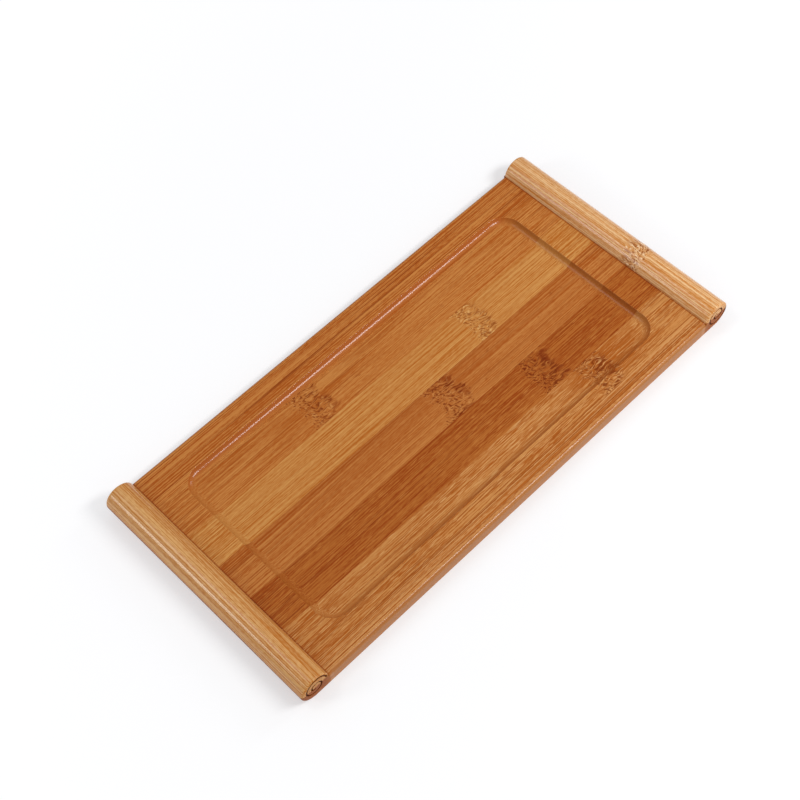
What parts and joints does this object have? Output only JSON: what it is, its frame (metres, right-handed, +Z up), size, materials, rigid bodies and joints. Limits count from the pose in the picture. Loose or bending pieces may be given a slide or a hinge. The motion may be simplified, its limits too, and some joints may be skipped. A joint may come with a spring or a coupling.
{
  "type": "gongfu tea tray",
  "caption": "Low bamboo tea tray with a shallow round-cornered recess and a scroll-shaped roll across each end, glued up from strips.",
  "frame": {"origin": "middle of the underside, in the plane that the tray stands on", "axes": "+X along the tray towards one roll, +Y across it, +Z up out of the recess"},
  "size_m": [0.282, 0.135, 0.0157],
  "materials": {
    "bamboo_russet": "clear satin-gloss lacquer over carbonised bamboo, fine grain lines",
    "bamboo_caramel": "clear satin-gloss lacquer over carbonised bamboo, fine grain lines",
    "bamboo_honey": "clear satin-gloss lacquer over carbonised bamboo, fine grain lines",
    "bamboo_amber": "clear satin-gloss lacquer over carbonised bamboo, fine grain lines",
    "bamboo_base": "clear satin-gloss lacquer over carbonised bamboo, fine grain lines",
    "bamboo_rail": "clear satin-gloss lacquer over carbonised bamboo, fine grain lines"
  },
  "bodies": {
    "root": {"deck_strip_1": "bamboo_russet", "deck_strip_2": "bamboo_caramel", "deck_strip_3": "bamboo_honey", "deck_strip_4": "bamboo_caramel", "deck_strip_5": "bamboo_amber", "deck_strip_6": "bamboo_honey", "deck_strip_7": "bamboo_russet", "base_strip_1": "bamboo_base", "base_strip_2": "bamboo_base", "base_strip_3": "bamboo_base", "base_strip_4": "bamboo_base", "base_strip_5": "bamboo_base", "base_strip_6": "bamboo_base", "base_strip_7": "bamboo_base", "left_roll_rail": "bamboo_rail", "right_roll_rail": "bamboo_rail"}
  },
  "joints": []
}
